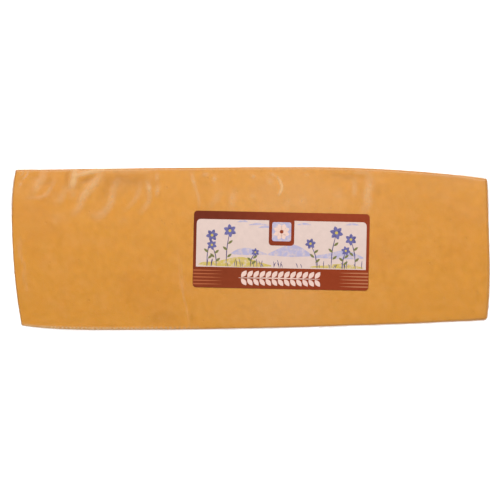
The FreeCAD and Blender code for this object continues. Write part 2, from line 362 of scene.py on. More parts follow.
class LabelSettings(PropertyGroup):
    """The label's size and place on the upper face."""

    length: length_setting("Length", "Length of the label", 108.8 * MM)
    width: length_setting("Width", "Width of the label", 47.4 * MM)
    thickness: length_setting("Thickness", "Thickness of the sticker", 0.2 * MM)
    corner_radius: length_setting("Corner Radius", "Radius of the label's corners", 2.2 * MM)
    place: place_setting(
        "Place", "Middle of the label, from the middle of the loaf", (18.7 * MM, -1.35 * MM)
    )
    turn: FloatProperty(
        name="Turn",
        description="Turn of the label from square with the loaf",
        default=math.radians(-1.2),
        subtype="ANGLE",
    )


class ColourSettings(PropertyGroup):
    """The colours of the cheese, the film and the print."""

    cheese: colour_setting("Cheese", "Orange of the pressed cheese", 218, 147, 42)
    cheese_deep: colour_setting("Deep Cheese", "Its deeper, redder patches", 213, 139, 36)
    cheese_pale: colour_setting("Pale Cheese", "Its paler, drier patches", 225, 157, 58)
    # deep gold of the painted shade in crease pockets and along the edges
    cheese_damp_shade: colour_setting("Damp Cheese", "Its dark gold where the film is pressed tight", 188, 120, 10)
    # milky film, which also paints highlight and sheen on the ridges, rims and round the label
    haze: colour_setting("Haze", "Milky film where it is bunched", 248, 208, 148)
    frame_left: colour_setting("Frame Left", "Brown of the label's frame at its left end", 107, 37, 15)
    frame_low: colour_setting("Lower Frame", "Its lighter brown in the lower band's left end", 134, 56, 26)
    frame_right: colour_setting("Frame Right", "The same brown at its right end", 145, 56, 23)
    stripe: colour_setting("Stripe", "Fine light stripes in the lower band", 182, 98, 60)
    stripe_right: colour_setting("Right Stripe", "Paler stripes at the lower band's right end", 184, 112, 76)
    panel: colour_setting("Panel", "Cream ground of the picture", 224, 200, 190)
    cream: colour_setting("Cream", "Cream of the ear of grain", 238, 204, 190)
    ink: colour_setting("Ink", "Dark blue strokes of the picture", 72, 62, 108)
    blue: colour_setting("Blue", "Middle blue of the picture", 112, 108, 160)
    wash: colour_setting("Wash", "Pale blue washes of the picture", 182, 176, 204)
    straw: colour_setting("Straw", "Straw yellow of the picture", 206, 182, 92)
    leaf: colour_setting("Leaf", "Olive green of the picture", 122, 122, 74)


class StudioSettings(PropertyGroup):
    """Camera and light."""

    camera_height: length_setting("Camera Height", "Height of the camera above the floor", 3.0)
    view_width: length_setting("View Width", "Width that the camera sees at half the loaf's height", 0.3146)
    aim: place_setting("Aim", "Place on the floor at the middle of the view", (-0.63 * MM, -0.95 * MM))
    sky: light_setting("Sky", "Strength of the even light from all round", 0.45)
    key: light_setting(
        "Key Light", "Power of the large soft light behind and above the loaf, in watts", 23.7
    )
    fill: light_setting("Fill Light", "Power of the low soft light in front of the loaf, in watts", 4.2)


# ---- the loaf's form -----------------------------------------------------------------------------


def outline(reach, side, share):
    """How far a side stands out from the middle at this share of the way along it, reach being the most."""
    to_low = np.maximum(0.0, (side.peak - share) / (1 + side.peak))
    to_high = np.maximum(0.0, (share - side.peak) / (1 - side.peak))
    return reach - side.low.depth * to_low**side.low.bend - side.high.depth * to_high**side.high.bend


def edge_radius(along, across):
    """The rounding of the edges near a place: each corner's own at the ends, the long edges' between."""
    rear_share = (across + 1) / 2
    right = FRONT_RIGHT_CORNER_RADIUS + (REAR_RIGHT_CORNER_RADIUS - FRONT_RIGHT_CORNER_RADIUS) * rear_share
    at_end = np.where(along > 0, right, LEFT_CORNER_RADIUS)
    return LONG_EDGE_RADIUS + (at_end - LONG_EDGE_RADIUS) * np.abs(along) ** 8


def brick_mesh(loaf, cuts, finer=()):
    """A brick with rounded edges, the loaf's size, divided this many times along X, Y and Z, and twice as
    finely on the parts of its top that finer gives, each as its lowest and highest X and Y."""
    bm = bmesh.new()
    half = Vector((loaf.length, loaf.width, loaf.height)) / 2
    bmesh.ops.create_cube(bm, size=2.0, matrix=Matrix.Diagonal((*half, 1.0)))
    bmesh.ops.bevel(
        bm,
        geom=bm.edges[:],
        offset=LONG_EDGE_RADIUS,
        segments=EDGE_STEPS,
        profile=0.5,
        affect="EDGES",
        material=-1,
    )
    for axis, count in enumerate(cuts):
        run = 2 * (half[axis] - LONG_EDGE_RADIUS)
        runs = [e for e in bm.edges if abs(e.verts[0].co[axis] - e.verts[1].co[axis]) > run * 0.99]
        bmesh.ops.subdivide_edges(bm, edges=runs, cuts=count - 1)
    if finer:
        chosen = set()
        for face in bm.faces:
            spot = face.calc_center_median()
            if face.normal.z > 0.999 and any(
                low_x < spot.x < high_x and low_y < spot.y < high_y
                for (low_x, low_y), (high_x, high_y) in finer
            ):
                chosen.update(face.edges)
        bmesh.ops.subdivide_edges(bm, edges=list(chosen), cuts=1, use_grid_fill=True)
    return bm


def bend_to_loaf(bm, loaf):
    """Gives a brick with rounded edges the loaf's corners, drawn-in ends and crowned faces."""
    size = Vector((loaf.length, loaf.width, loaf.height)) / 2
    half = np.array(size)
    brick = positions(bm)
    core = np.clip(brick, LONG_EDGE_RADIUS - half, half - LONG_EDGE_RADIUS)
    outward = brick - core
    outward /= np.linalg.norm(outward, axis=1)[:, None]
    radius = edge_radius(brick[:, 0] / size.x, brick[:, 1] / size.y)[:, None]
    core *= (half - radius) / (half - LONG_EDGE_RADIUS)
    along, across, up = ((core + outward * radius) / half).T
    half_length = np.where(along > 0, outline(size.x, RIGHT, across), outline(size.x, LEFT, across))
    half_width = np.where(across > 0, outline(size.y, REAR, along), outline(size.y, FRONT, along))
    x = along * (half_length - END_CROWN * up**2)
    y = across * (half_width - SIDE_CROWN * up**2)
    top = loaf.height - TOP_CROWN_ACROSS * across**2 - TOP_CROWN_ALONG * along**2
    top -= SLIM_END_DROP * np.maximum(0.0, along)
    move_to(bm, np.column_stack((x, y, top * (up + 1) / 2)))


def positions(bm):
    """The positions of a mesh's vertices as an array."""
    return np.array([v.co for v in bm.verts])


def move_to(bm, spots):
    """Puts a mesh's vertices at an array's positions."""
    for vertex, spot in zip(bm.verts, spots):
        vertex.co = spot
    bm.normal_update()


# ---- creases and undulation ----------------------------------------------------------------------


def smooth_route(points):
    """Places close together on a smooth line through the points."""
    knots = np.array([2 * points[0] - points[1], *points, 2 * points[-1] - points[-2]])
    share = np.linspace(0, 1, ROUTE_STEPS, endpoint=False)[:, None]
    runs = []
    for before, start, end, after in zip(knots, knots[1:], knots[2:], knots[3:]):
        bend = 2 * before - 5 * start + 4 * end - after
        twist = 3 * start - before - 3 * end + after
        runs.append(start + (share * (end - before) + share**2 * bend + share**3 * twist) / 2)
    return np.vstack(runs)


def add_crease(crease, plan, height, haze, damp_shade):
    """Adds one crease's rise, its haze with painted sheen and its damp with painted shade, at the places of
    a face, given by their plan on it.
    """
    route = smooth_route([np.array(p) * MM for p in crease.points])
    breadth = crease.breadth * MM
    reach = CREASE_REACH * breadth
    near = np.all((plan > route.min(0) - reach) & (plan < route.max(0) + reach), axis=1)
    near = np.flatnonzero(near)
    if not len(near):
        return
    gaps = np.linalg.norm(plan[near, None, :] - route[None, :, :], axis=2)
    closest = gaps.argmin(1)
    gap = gaps[np.arange(len(near)), closest]
    share = closest / (len(route) - 1)
    fade = np.sin(math.pi * (0.06 + 0.88 * share)) ** 0.6
    height[near] += crease.rise * MM * fade * np.exp(-((gap / (breadth * 0.5)) ** 2))
    veil = haze if crease.haze > 0 else damp_shade
    cover = np.minimum(1.0, abs(crease.haze) * fade * np.exp(-((gap / (breadth * 0.58)) ** 2.6)))
    veil[near] = 1 - (1 - veil[near]) * (1 - cover)


def wall_creases(rng, half_run, height):
    """Faint slanting creases of shrunk film on a long side, most of them near its ends."""
    creases = []
    for _ in range(SIDE_CREASES):
        hand = rng.choice((-1, 1))
        x = hand * half_run * (1 - rng.random() ** 1.7)
        z = rng.uniform(0.06, 0.94) * height
        length = rng.uniform(*SIDE_CREASE_LENGTH)
        lean = math.radians(rng.uniform(*SIDE_CREASE_LEAN)) * hand * (1 if z < height / 2 else -1)
        dx, dz = math.cos(lean) * length / 2, math.sin(lean) * length / 2
        bow = rng.uniform(-2.5, 2.5)
        route = ((x - dx, z - dz), (x + bow, z + bow), (x + dx, z + dz))
        sizes = (SIDE_CREASE_BREADTH, SIDE_CREASE_RISE, SIDE_CREASE_HAZE)
        creases.append(Crease(route, *(rng.uniform(*size) for size in sizes)))
    return creases


def end_pleats(rng, half_run, height):
    """Pleats that fan out from an end's seal to the edges above and below it."""
    creases = []
    seal = SEAL_LEVEL / MM
    for hand in (-1, 1):
        for i in range(END_PLEATS):
            share = (i + 0.5 + rng.uniform(-0.3, 0.3)) / END_PLEATS * 2 - 1
            start = seal + 1.0 if hand > 0 else seal - STRIP_DROP / MM + 2.0
            room = height - start - 3.0 if hand > 0 else start - 3.0
            reach = room * rng.uniform(*END_PLEAT_REACH)
            foot = share * (half_run - 4.0)
            head = foot + share * reach * 0.35 + rng.uniform(-2.0, 2.0)
            middle = ((foot + head) / 2 + rng.uniform(-1.2, 1.2), start + hand * reach * 0.55)
            route = ((foot, start), middle, (head, start + hand * reach))
            sizes = (END_PLEAT_BREADTH, END_PLEAT_RISE, END_PLEAT_HAZE)
            creases.append(Crease(route, *(rng.uniform(*size) for size in sizes)))
    return creases


def rib_wave(up, ribs):
    """The heat seal's ribs, from -1 to 1, at this share of the strip's height."""
    band = max(0.0, min(1.0, (up - 0.35) * 8)) * max(0.0, min(1.0, (0.92 - up) * 12))
    return math.sin(up * ribs * 2 * math.pi / 0.57) * band


def skin_relief(spots, normals, loaf):
    """The film's height over its smooth form, its haze with painted sheen, and the cheese's damp with
    painted shade, at each place of the skin.
    """
    height, haze, damp_shade = (np.zeros(len(spots)) for _ in range(3))
    rng = random.Random(WALL_SEED)
    half_run, half_across, tall = loaf.length / 2 / MM, loaf.width / 2 / MM, loaf.height / MM
    sheets = [(2, 1, (0, 1), TOP_CREASES)]
    sheets += [(1, hand, (0, 2), wall_creases(rng, half_run, tall)) for hand in (-1, 1)]
    sheets += [(0, hand, (1, 2), end_pleats(rng, half_across, tall)) for hand in (-1, 1)]
    for axis, hand, plan_axes, creases in sheets:
        faces_it = np.flatnonzero(normals[:, axis] * hand > 0.35)
        plan = spots[faces_it][:, plan_axes]
        # milk gathers the creases' haze with its painted sheen, wet their painted shade
        rise, milk, wet_shade = (np.zeros(len(faces_it)) for _ in range(3))
        for crease in creases:
            add_crease(crease, plan, rise, milk, wet_shade)
        flatness = np.clip((normals[faces_it, axis] * hand - 0.35) / 0.4, 0, 1)
        height[faces_it] += rise * flatness
        haze[faces_it] = np.maximum(haze[faces_it], milk * flatness)
        damp_shade[faces_it] = np.maximum(damp_shade[faces_it], wet_shade * flatness)
    broad = np.array([noise.noise(Vector(spot) / BROAD_PATCH) for spot in spots])
    close = np.array([noise.noise(Vector(spot) / CLOSE_PATCH) for spot in spots])
    on_base = normals[:, 2] < -0.5
    height += np.where(on_base, 0.0, loaf.undulation * (broad + 0.3 * close))
    # painted shade along the edges, stronger on the rear edge that faces the key light
    on_edge = np.clip((0.995 - np.abs(normals).max(1)) / 0.03, 0, 1)
    edge_shade = EDGE_SHADE + REAR_EDGE_SHADE * np.clip(normals[:, 1] * 5, 0, 1)
    damp_shade = np.maximum(damp_shade, edge_shade * on_edge * (1 - 0.5 * np.clip(haze, 0, 1)))
    return height, haze, damp_shade


def uneven_skin(loaf, cuts, finer=()):
    """The loaf's skin: its mesh, with the place, normal, height, haze with painted sheen, and damp with
    painted shade of each vertex.
    """
    bm = brick_mesh(loaf, cuts, finer)
    bend_to_loaf(bm, loaf)
    spots, normals = positions(bm), np.array([v.normal for v in bm.verts])
    return bm, spots, normals, *skin_relief(spots, normals, loaf)


# ---- sheets that lie on the loaf -----------------------------------------------------------------


def lattice(bm, step):
    """Divides a flat sheet by lines this far apart both ways, so that it can follow a curved face."""
    for axis in (0, 1):
        places = [v.co[axis] for v in bm.verts]
        for i in range(math.ceil(min(places) / step), math.ceil(max(places) / step)):
            at, across = Vector(), Vector()
            at[axis], across[axis] = i * step, 1.0
            geometry = bm.verts[:] + bm.edges[:] + bm.faces[:]
            bmesh.ops.bisect_plane(bm, geom=geometry, dist=1e-7, plane_co=at, plane_no=across)


def rounded_sheet(bm, centre, size, radius, corners=(1, 1, 1, 1)):
    """A flat rectangle, rounded where corners says so: rear left, rear right, front right, front left."""
    matrix = Matrix.Translation((*centre, 0)) @ Matrix.Diagonal((size[0] / 2, size[1] / 2, 1, 1))
    made = bmesh.ops.create_grid(bm, x_segments=1, y_segments=1, size=1.0, matrix=matrix)["verts"]
    signs = ((-1, 1), (1, 1), (1, -1), (-1, -1))
    rounded = []
    for (sx, sy), wanted in zip(signs, corners):
        corner = max(made, key=lambda v: v.co.x * sx + v.co.y * sy)
        if wanted:
            rounded.append(corner)
    bmesh.ops.bevel(bm, geom=rounded, offset=radius, segments=5, profile=0.5, affect="VERTICES", material=-1)


def lay_on(bm, ground, lift, thickness, direction=Vector((0, 0, -1))):
    """Lays a sheet on the ground along a direction, this high over it, and gives it its thickness."""
    for vertex in bm.verts:
        start = vertex.co - direction * (DROP_HEIGHT + vertex.co.dot(direction))
        vertex.co = ground.ray_cast(start, direction)[0] - direction * (lift + thickness)
    bm.normal_update()
    facing = sum((face.normal * face.calc_area() for face in bm.faces), Vector())
    if facing.dot(direction) > 0:
        bmesh.ops.reverse_faces(bm, faces=bm.faces[:])
    bmesh.ops.solidify(bm, geom=bm.faces[:], thickness=thickness)


def finish_piece(bm, name, material, node, sharp=math.radians(40)):
    """Makes a mesh an object of the part that stands for a CAD node."""
    mesh = bpy.data.meshes.new(name)
    bm.to_mesh(mesh)
    bm.free()
    mesh.shade_smooth()
    mesh.set_sharp_from_angle(angle=sharp)
    mesh.materials.append(material)
    piece = bpy.data.objects.new(name, mesh)
    bpy.context.scene.collection.objects.link(piece)
    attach(piece, "root")
    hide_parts(node)
    return piece


def store(piece, name, values):
    """Keeps a value for each vertex of a piece, for its material."""
    attribute = piece.data.attributes.new(name, "FLOAT", "POINT")
    attribute.data.foreach_set("value", values)


def surface_of(name):
    """The finished mesh of a piece, as a tree to lay sheets on."""
    bm = bmesh.new()
    bm.from_mesh(bpy.data.objects[name].data)
    tree = BVHTree.FromBMesh(bm)
    bm.free()
    return tree


# ---- materials -----------------------------------------------------------------------------------


def new_group(name, inputs, outputs):
    """An empty shader group. An input is a name, a kind of socket and a value, an output the first two."""
    group = bpy.data.node_groups.new(name, "ShaderNodeTree")
    for label, kind, value in inputs:
        socket = group.interface.new_socket(label, in_out="INPUT", socket_type=kind)
        socket.default_value = value
    for label, kind in outputs:
        group.interface.new_socket(label, in_out="OUTPUT", socket_type=kind)
    return group, group.nodes.new("NodeGroupInput"), group.nodes.new("NodeGroupOutput")


def math_node(tree, operation, first, second, clamp=False):
    """A Math node. Its inputs are sockets or plain numbers."""
    node = tree.nodes.new("ShaderNodeMath")
    node.operation = operation
    node.use_clamp = clamp
    for socket, value in zip(node.inputs, (first, second)):
        if isinstance(value, (int, float)):
            socket.default_value = value
        else:
            tree.links.new(value, socket)
    return node.outputs[0]


def scaled(tree, value, scale, start):
    """A value times the scale, plus the start."""
    return math_node(tree, "ADD", math_node(tree, "MULTIPLY", value, scale), start)


def mix_colour(tree, factor, first, second, blend="MIX"):
    """A colour Mix node. Its inputs are sockets, colours or numbers."""
    node = tree.nodes.new("ShaderNodeMix")
    node.data_type = "RGBA"
    node.blend_type = blend
    for key, value in (("Factor_Float", factor), ("A_Color", first), ("B_Color", second)):
        socket = next(s for s in node.inputs if s.identifier == key)
        if isinstance(value, bpy.types.NodeSocket):
            tree.links.new(value, socket)
        elif key == "Factor_Float":
            socket.default_value = value
        else:
            socket.default_value = (*value, 1.0)
    return next(s for s in node.outputs if s.identifier == "Result_Color")


def object_place(tree):
    """The place on the object, which noises and ramps are read at."""
    return tree.nodes.new("ShaderNodeTexCoord").outputs["Object"]


def stored(tree, name):
    """The value that each vertex keeps under this name."""
    node = tree.nodes.new("ShaderNodeAttribute")
    node.attribute_name = name
    return node.outputs["Fac"]


def mix_shaders(tree, factor, first, second):
    """The first shader, and the second over it as far as the factor says."""
    node = tree.nodes.new("ShaderNodeMixShader")
    for socket, value in zip(node.inputs, (factor, first, second)):
        tree.links.new(value, socket)
    return node.outputs[0]


def noise_node(tree, vector, scale, detail=3.0, roughness=0.5):
    """A Noise Texture's factor."""
    node = tree.nodes.new("ShaderNodeTexNoise")
    node.inputs["Detail"].default_value = detail
    node.inputs["Roughness"].default_value = roughness
    if isinstance(scale, bpy.types.NodeSocket):
        tree.links.new(scale, node.inputs["Scale"])
    else:
        node.inputs["Scale"].default_value = scale
    tree.links.new(vector, node.inputs["Vector"])
    return node.outputs["Fac"]


def grain_group():
    """Uneven patches and a fine grain, shared by cheese and print, as a shade round 1 and a height."""
    name = "Uneven Grain"
    if name in bpy.data.node_groups:
        return bpy.data.node_groups[name]
    inputs = (
        ("Patch Scale", "NodeSocketFloat", 60.0),
        ("Grain Scale", "NodeSocketFloat", 900.0),
        ("Contrast", "NodeSocketFloat", 0.1),
    )
    outputs = (("Shade", "NodeSocketFloat"), ("Patches", "NodeSocketFloat"), ("Height", "NodeSocketFloat"))
    group, given, result = new_group(name, inputs, outputs)
    place = object_place(group)
    patches = noise_node(group, place, given.outputs["Patch Scale"], detail=2.0)
    grain = noise_node(group, place, given.outputs["Grain Scale"], detail=2.0)
    coarse = math_node(group, "MULTIPLY", patches, 0.6)
    fine = math_node(group, "MULTIPLY", grain, 0.4)
    both = math_node(group, "ADD", coarse, fine)
    swing = math_node(group, "MULTIPLY", math_node(group, "SUBTRACT", both, 0.5), given.outputs["Contrast"])
    group.links.new(scaled(group, swing, 2.0, 1.0), result.inputs["Shade"])
    group.links.new(patches, result.inputs["Patches"])
    group.links.new(grain, result.inputs["Height"])
    return group


def use_group(tree, group, **values):
    """A group placed in a material with its own values."""
    node = tree.nodes.new("ShaderNodeGroup")
    node.node_tree = group
    for name, value in values.items():
        node.inputs[name.replace("_", " ").title()].default_value = value
    return node


def start_material(name):
    """A material with only its output, and its node tree."""
    material = bpy.data.materials.new(name)
    material.use_nodes = True
    tree = material.node_tree
    tree.nodes.clear()
    return material, tree, tree.nodes.new("ShaderNodeOutputMaterial")


def shaded(tree, colour, shade):
    """A colour multiplied by a shade."""
    grey = tree.nodes.new("ShaderNodeCombineColor")
    for channel in grey.inputs:
        tree.links.new(shade, channel)
    return mix_colour(tree, 1.0, colour, grey.outputs[0], blend="MULTIPLY")


def bump(tree, height, distance, strength=1.0):
    """A Bump node's normal."""
    node = tree.nodes.new("ShaderNodeBump")
    node.inputs["Strength"].default_value = strength
    node.inputs["Distance"].default_value = distance
    tree.links.new(height, node.inputs["Height"])
    return node.outputs["Normal"]


def ramp(tree, value, low, high):
    """0 below low and 1 above high, smooth between."""
    node = tree.nodes.new("ShaderNodeMapRange")
    node.interpolation_type = "SMOOTHSTEP"
    node.inputs["From Min"].default_value = low
    node.inputs["From Max"].default_value = high
    tree.links.new(value, node.inputs["Value"])
    return node.outputs["Result"]


def cheese_material(colours):
    """Pressed orange cheese: broad deeper and paler patches, a fine curd grain and a few tiny pits, with
    painted shade in the pits, in the crease pockets and along the edges.
    """
    material, tree, output = start_material("Cheese")
    place = object_place(tree)
    broad = noise_node(tree, place, 28.0, detail=2.0)
    deep = math_node(tree, "MULTIPLY", ramp(tree, broad, 0.5, 0.75), 0.6)
    pale = ramp(tree, noise_node(tree, place, 55.0, detail=3.0), 0.52, 0.75)
    colour = mix_colour(tree, deep, colours.cheese, colours.cheese_deep)
    colour = mix_colour(tree, math_node(tree, "MULTIPLY", pale, 0.45), colour, colours.cheese_pale)
    # painted shade: crease pockets and edges darkened towards deep gold
    colour = mix_colour(tree, stored(tree, "damp_shade"), colour, colours.cheese_damp_shade)
    grain = use_group(tree, grain_group(), patch_scale=260.0, grain_scale=1000.0, contrast=0.2)
    pits = tree.nodes.new("ShaderNodeTexVoronoi")
    pits.inputs["Scale"].default_value = 130.0
    tree.links.new(place, pits.inputs["Vector"])
    pit = ramp(tree, pits.outputs["Distance"], 0.04, 0.1)
    # painted shade in the tiny pits
    pit_shade = scaled(tree, pit, 0.12, 0.88)
    colour = shaded(tree, colour, math_node(tree, "MULTIPLY", grain.outputs["Shade"], pit_shade))
    shader = tree.nodes.new("ShaderNodeBsdfPrincipled")
    shader.inputs["Subsurface Weight"].default_value = 0.12
    shader.inputs["Subsurface Radius"].default_value = (1.0, 0.45, 0.15)
    shader.inputs["Subsurface Scale"].default_value = 2.0 * MM
    shader.inputs["Specular IOR Level"].default_value = 0.3
    tree.links.new(colour, shader.inputs["Base Color"])
    tree.links.new(scaled(tree, grain.outputs["Patches"], 0.25, 0.42), shader.inputs["Roughness"])
    relief = math_node(tree, "ADD", grain.outputs["Height"], math_node(tree, "MULTIPLY", pit, 2.0))
    tree.links.new(bump(tree, relief, 0.05 * MM), shader.inputs["Normal"])
    tree.links.new(shader.outputs[0], output.inputs["Surface"])
    return material


def film_material(name, colours, roughness, milk):
    """Clear film: gloss over whatever is under it, and a milky haze, which on ridges and rims is also
    painted highlight and sheen, where its stored haze says so.
    """
    material, tree, output = start_material(name)
    place = object_place(tree)
    clear = tree.nodes.new("ShaderNodeBsdfTransparent")
    gloss = tree.nodes.new("ShaderNodeBsdfGlossy")
    smear = noise_node(tree, place, 90.0, detail=4.0)
    tree.links.new(scaled(tree, smear, 0.16, roughness - 0.08), gloss.inputs["Roughness"])
    ripple = noise_node(tree, place, 240.0, detail=3.0)
    tree.links.new(bump(tree, ripple, 0.06 * MM), gloss.inputs["Normal"])
    slant = tree.nodes.new("ShaderNodeLayerWeight")
    slant.inputs["Blend"].default_value = 0.5
    grazing = math_node(tree, "POWER", slant.outputs["Facing"], 5.0)
    sheen = mix_shaders(tree, scaled(tree, grazing, 0.96, 0.04), clear.outputs[0], gloss.outputs[0])
    milky = tree.nodes.new("ShaderNodeBsdfDiffuse")
    milky.inputs["Color"].default_value = (*colours.haze, 1.0)
    streaks = ramp(tree, noise_node(tree, place, 420.0, detail=4.0), 0.2, 0.75)
    streaks = scaled(tree, streaks, 0.3, 0.74)
    thick = math_node(tree, "MULTIPLY", stored(tree, "haze"), MILKINESS)
    clouds = ramp(tree, noise_node(tree, place, 130.0, detail=5.0, roughness=0.65), 0.46, 0.72)
    thin = scaled(tree, clouds, 0.07, milk)
    haze = math_node(tree, "MULTIPLY", math_node(tree, "ADD", thick, thin), streaks, clamp=True)
    tree.links.new(mix_shaders(tree, haze, sheen, milky.outputs[0]), output.inputs["Surface"])
    return material


def print_material(name, colour, contrast=0.16, low_colour=None, right_colour=None, washed_with=None):
    """Satin print. Further colours make it change down and along the label, and washed_with lets the ground
    show through in soft patches, as in a thin wash of paint."""
    material, tree, output = start_material(name)
    place = object_place(tree)
    base = colour
    if right_colour:
        axes = tree.nodes.new("ShaderNodeSeparateXYZ")
        tree.links.new(place, axes.inputs[0])
        label = bpy.context.scene.cheese_label
        middle, half_length, half_width = label.place, label.length / 2, label.width / 2
        height = ramp(tree, axes.outputs["Y"], middle[1] - half_width, middle[1] + half_width)
        base = mix_colour(tree, height, low_colour, colour)
        right_end = middle[0] + half_length * TINT_RUN
        along = ramp(tree, axes.outputs["X"], middle[0] - half_length, right_end)
        base = mix_colour(tree, along, base, right_colour)
    if washed_with:
        thin = ramp(tree, noise_node(tree, place, 420.0, detail=4.0, roughness=0.6), 0.42, 0.7)
        base = mix_colour(tree, math_node(tree, "MULTIPLY", thin, 0.75), base, washed_with)
    grain = use_group(tree, grain_group(), patch_scale=320.0, grain_scale=2200.0, contrast=contrast)
    tint = shaded(tree, base, grain.outputs["Shade"])
    shader = tree.nodes.new("ShaderNodeBsdfPrincipled")
    shader.inputs["Specular IOR Level"].default_value = 0.18
    tree.links.new(tint, shader.inputs["Base Color"])
    tree.links.new(scaled(tree, grain.outputs["Patches"], 0.2, 0.35), shader.inputs["Roughness"])
    tree.links.new(bump(tree, grain.outputs["Height"], 0.01 * MM), shader.inputs["Normal"])
    tree.links.new(shader.outputs[0], output.inputs["Surface"])
    return material


# ---- the picture's strokes -----------------------------------------------------------------------


def add_leaf(bm, at, length, breadth, turn, segments=12):
    """A flat leaf or petal with pointed ends."""
    made = bmesh.ops.create_circle(bm, cap_ends=True, radius=1.0, segments=segments)["verts"]
    spin = Matrix.Rotation(turn, 4, "Z")
    for vertex in made:
        x, y, _ = vertex.co
        vertex.co = spin @ Vector((x * length / 2, y * abs(y) * breadth / 2, 0)) + Vector((*at, 0))


def add_disc(bm, at, radius, segments=14):
    """A flat disc."""
    bmesh.ops.create_circle(
        bm, cap_ends=True, radius=radius, segments=segments, matrix=Matrix.Translation((*at, 0))
    )


def add_stroke(bm, points, breadth, taper=0.7):
    """A brush stroke along a smooth line through the points, thinner at its ends."""
    route = smooth_route([np.array(p) * MM for p in points])
    count = len(route)
    made = bmesh.ops.create_grid(bm, x_segments=count - 1, y_segments=1, size=1.0)["verts"]
    heading = np.gradient(route, axis=0)
    heading /= np.linalg.norm(heading, axis=1)[:, None]
    for vertex in made:
        i = round((vertex.co.x + 1) / 2 * (count - 1))
        share = i / (count - 1)
        half = breadth / 2 * (1 - taper * abs(2 * share - 1) ** 2) * vertex.co.y
        vertex.co = (route[i][0] - heading[i][1] * half, route[i][1] + heading[i][0] * half, 0)


def add_hill(bm, low, high, base, rise, swell):
    """A low hill between two ends, down to nothing at both, with this rise and swells on its skyline."""
    made = bmesh.ops.create_grid(bm, x_segments=HILL_STEPS, y_segments=1, size=1.0)["verts"]
    for vertex in made:
        share = (vertex.co.x + 1) / 2
        x = low + share * (high - low)
        crest = math.sin(math.pi * (0.02 + 0.96 * share)) ** 0.6 * (rise + swell * math.sin(x / HILL_PITCH))
        vertex.co = (x, base + crest * (1 if vertex.co.y > 0 else -0.12), 0)


def flower(bm_petals, bm_hearts, at, radius, petals, turn):
    """An open blossom: petals round a heart."""
    for i in range(petals):
        angle = turn + 2 * math.pi * i / petals
        centre = (at[0] + math.cos(angle) * radius * 0.58, at[1] + math.sin(angle) * radius * 0.58)
        add_leaf(bm_petals, centre, radius * 0.95, radius * 0.62, angle)
    add_disc(bm_hearts, at, radius * 0.24, segments=10)


# ---- operators -----------------------------------------------------------------------------------


class CHEESE_OT_cheese(Operator):
    """Add the block of cheese"""

    bl_idname = "cheese_loaf.cheese"
    bl_label = "Cheese"

    def execute(self, context):
        loaf, film = context.scene.cheese_loaf, context.scene.cheese_film
        bm, spots, normals, height, _, damp_shade = uneven_skin(loaf, CHEESE_CUTS)
        height = np.minimum(height, height * film.imprint)
        move_to(bm, spots + normals * height[:, None])
        material = cheese_material(context.scene.cheese_colours)
        piece = finish_piece(bm, "cheese", material, "wrapped_loaf", sharp=math.pi)
        store(piece, "damp_shade", damp_shade)
        return {"FINISHED"}


class CHEESE_OT_film(Operator):
    """Add the clear film with its puckers and creases"""

    bl_idname = "cheese_loaf.film"
    bl_label = "Film"

    def execute(self, context):
        loaf, film = context.scene.cheese_loaf, context.scene.cheese_film
        bm, spots, normals, height, haze, _ = uneven_skin(loaf, FILM_CUTS, FINER_PARTS)
        end = np.clip((np.abs(normals[:, 0]) - 0.2) / 0.5, 0, 1)
        height += film.lift + film.edge_lift * end
        height = np.where(normals[:, 2] < -0.5, 0.0, height)
        move_to(bm, spots + normals * height[:, None])
        colours = context.scene.cheese_colours
        material = film_material("Clear Film", colours, film.roughness, CLEAR_MILK)
        piece = finish_piece(bm, "film", material, "wrapped_loaf", sharp=math.pi)
        store(piece, "haze", haze)
        return {"FINISHED"}


